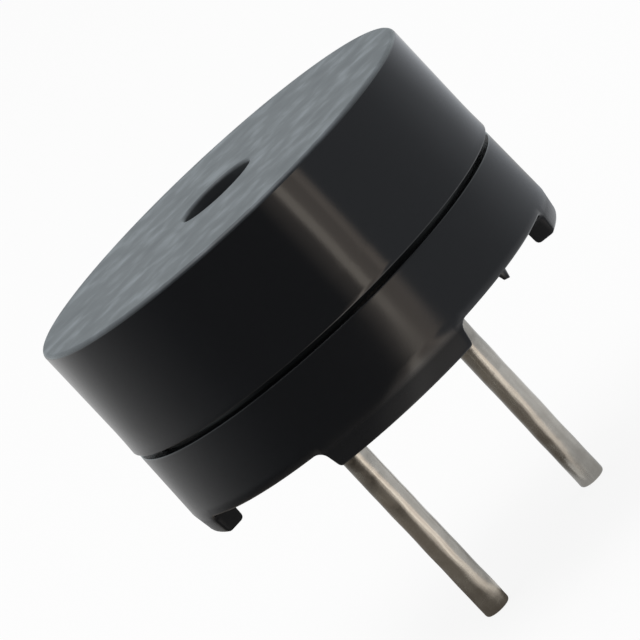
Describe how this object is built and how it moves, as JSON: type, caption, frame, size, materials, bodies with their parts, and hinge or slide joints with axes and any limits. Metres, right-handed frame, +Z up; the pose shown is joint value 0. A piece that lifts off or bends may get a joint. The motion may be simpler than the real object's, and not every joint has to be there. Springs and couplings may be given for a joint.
{
  "type": "magnetic buzzer",
  "caption": "Small round board-mounted magnetic buzzer: black moulded cap and base, a sound hole in the top, arc feet at the rim and straight tinned wire leads.",
  "frame": {"origin": "on the axis of the case, in the plane of the feet, midway between the leads", "axes": "+Z up through the sound hole, X along the line through the leads"},
  "size_m": [0.012, 0.012, 0.0124],
  "materials": {
    "cap_plastic": "black moulded plastic, fine satin",
    "base_plastic": "black moulded plastic, fine satin",
    "tinned_lead": "tin plated, drawn, slightly streaked",
    "soft_iron": "plated, satin",
    "bobbin_plastic": "natural moulded plastic",
    "enamelled_copper": "clear red-brown enamel, glossy",
    "magnet": "bonded magnet, dull dark grey",
    "spring_iron": "bright rolled",
    "solder": "bright, smooth",
    "potting_resin": "poured black resin, glossy"
  },
  "bodies": {
    "root": {"cap": "cap_plastic", "base": "base_plastic", "lead_pin_1": "tinned_lead", "lead_pin_2": "tinned_lead", "yoke_plate": "soft_iron", "pole_core": "soft_iron", "coil_bobbin": "bobbin_plastic", "coil_winding": "enamelled_copper", "ring_magnet": "magnet", "diaphragm": "spring_iron", "armature_disc": "spring_iron", "coil_wire_1": "enamelled_copper", "coil_wire_2": "enamelled_copper", "solder_joint_1": "solder", "solder_joint_2": "solder", "potting_seal": "potting_resin"}
  },
  "joints": []
}
